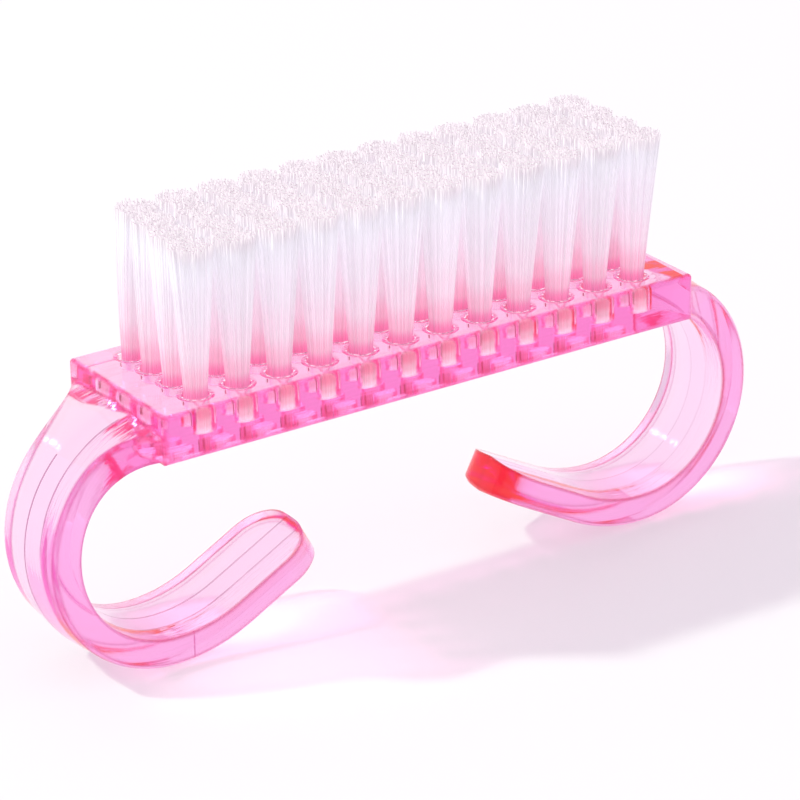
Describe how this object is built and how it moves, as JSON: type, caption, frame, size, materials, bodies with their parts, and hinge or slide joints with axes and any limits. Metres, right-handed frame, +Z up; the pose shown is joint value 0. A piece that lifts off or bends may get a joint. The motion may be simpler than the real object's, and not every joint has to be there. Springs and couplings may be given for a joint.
{
  "type": "nail brush",
  "caption": "Clear moulded nail brush: a flat block with a finger hook curled under each end and upright nylon bristle tufts set in rows in its face.",
  "frame": {"origin": "midway between the two hooks, on the surface that their lowest points stand on", "axes": "+X along the block towards the right hook, +Y across the block towards its back row, +Z up along the bristles"},
  "size_m": [0.0954, 0.0208, 0.0502],
  "materials": {
    "handle_plastic": "clear, polished, tinted through",
    "bristle_nylon": "milky filament, slightly shiny"
  },
  "bodies": {
    "root": {"handle": "handle_plastic", "tuft_row1_col01": "bristle_nylon", "tuft_row1_col02": "bristle_nylon", "tuft_row1_col03": "bristle_nylon", "tuft_row1_col04": "bristle_nylon", "tuft_row1_col05": "bristle_nylon", "tuft_row1_col06": "bristle_nylon", "tuft_row1_col07": "bristle_nylon", "tuft_row1_col08": "bristle_nylon", "tuft_row1_col09": "bristle_nylon", "tuft_row1_col10": "bristle_nylon", "tuft_row1_col11": "bristle_nylon", "tuft_row1_col12": "bristle_nylon", "tuft_row2_col01": "bristle_nylon", "tuft_row2_col02": "bristle_nylon", "tuft_row2_col03": "bristle_nylon", "tuft_row2_col04": "bristle_nylon", "tuft_row2_col05": "bristle_nylon", "tuft_row2_col06": "bristle_nylon", "tuft_row2_col07": "bristle_nylon", "tuft_row2_col08": "bristle_nylon", "tuft_row2_col09": "bristle_nylon", "tuft_row2_col10": "bristle_nylon", "tuft_row2_col11": "bristle_nylon", "tuft_row2_col12": "bristle_nylon", "tuft_row3_col01": "bristle_nylon", "tuft_row3_col02": "bristle_nylon", "tuft_row3_col03": "bristle_nylon", "tuft_row3_col04": "bristle_nylon", "tuft_row3_col05": "bristle_nylon", "tuft_row3_col06": "bristle_nylon", "tuft_row3_col07": "bristle_nylon", "tuft_row3_col08": "bristle_nylon", "tuft_row3_col09": "bristle_nylon", "tuft_row3_col10": "bristle_nylon", "tuft_row3_col11": "bristle_nylon", "tuft_row3_col12": "bristle_nylon", "tuft_row4_col01": "bristle_nylon", "tuft_row4_col02": "bristle_nylon", "tuft_row4_col03": "bristle_nylon", "tuft_row4_col04": "bristle_nylon", "tuft_row4_col05": "bristle_nylon", "tuft_row4_col06": "bristle_nylon", "tuft_row4_col07": "bristle_nylon", "tuft_row4_col08": "bristle_nylon", "tuft_row4_col09": "bristle_nylon", "tuft_row4_col10": "bristle_nylon", "tuft_row4_col11": "bristle_nylon", "tuft_row4_col12": "bristle_nylon"}
  },
  "joints": []
}
